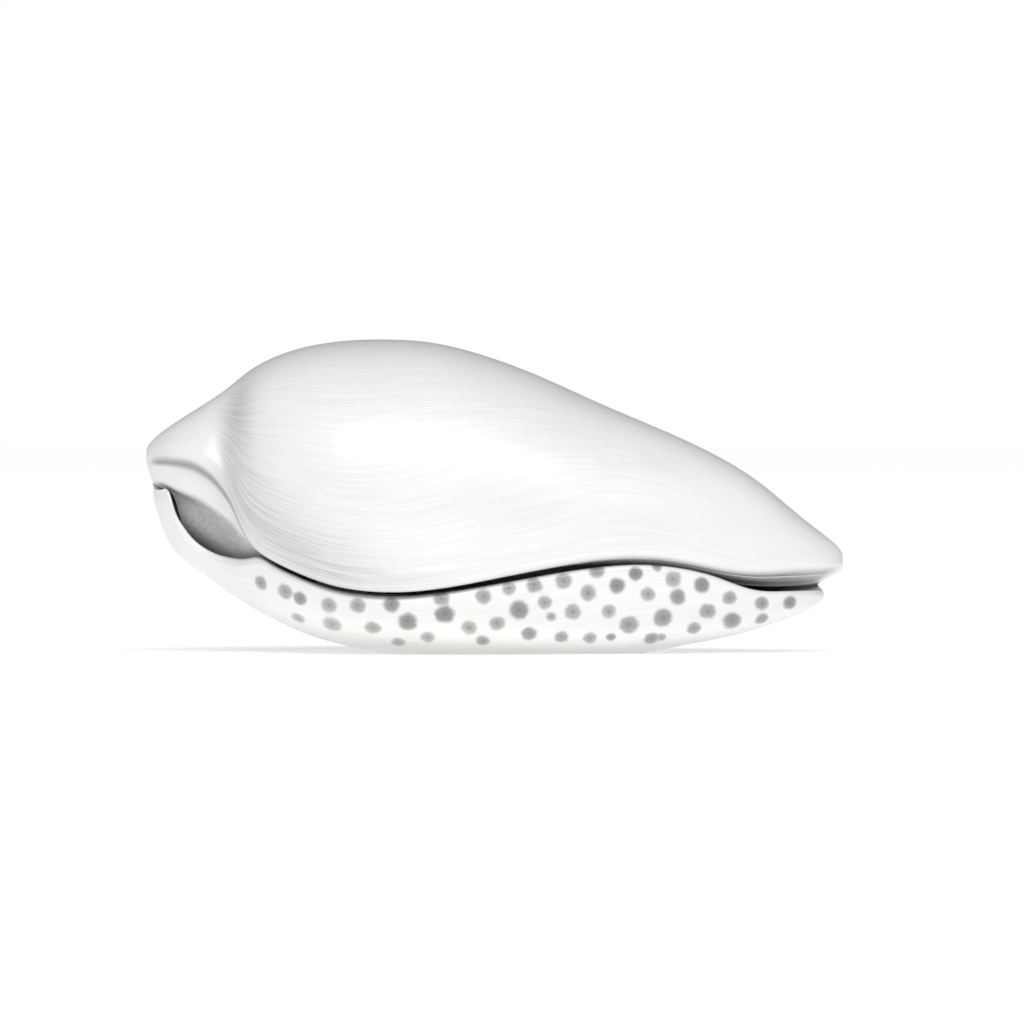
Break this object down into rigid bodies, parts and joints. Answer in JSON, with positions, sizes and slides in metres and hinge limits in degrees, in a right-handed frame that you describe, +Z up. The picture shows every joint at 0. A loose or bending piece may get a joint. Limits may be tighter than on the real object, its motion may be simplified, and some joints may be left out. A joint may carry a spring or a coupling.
{
  "type": "flamingo tongue shell",
  "caption": "Empty sea snail shell, a rolled porcelain-like body with a blunt beaked end, a tapering tip and a thick spotted outer lip along a narrow slit.",
  "frame": {"origin": "under the middle of the shell, on the table that the flat of the outer lip rests on", "axes": "+X from the blunt beaked end to the tapering tip, -Y towards the slit, +Z up"},
  "size_m": [0.03, 0.016, 0.0135],
  "materials": {
    "porcelain": null
  },
  "bodies": {
    "root": {"shell": "porcelain"}
  },
  "joints": []
}
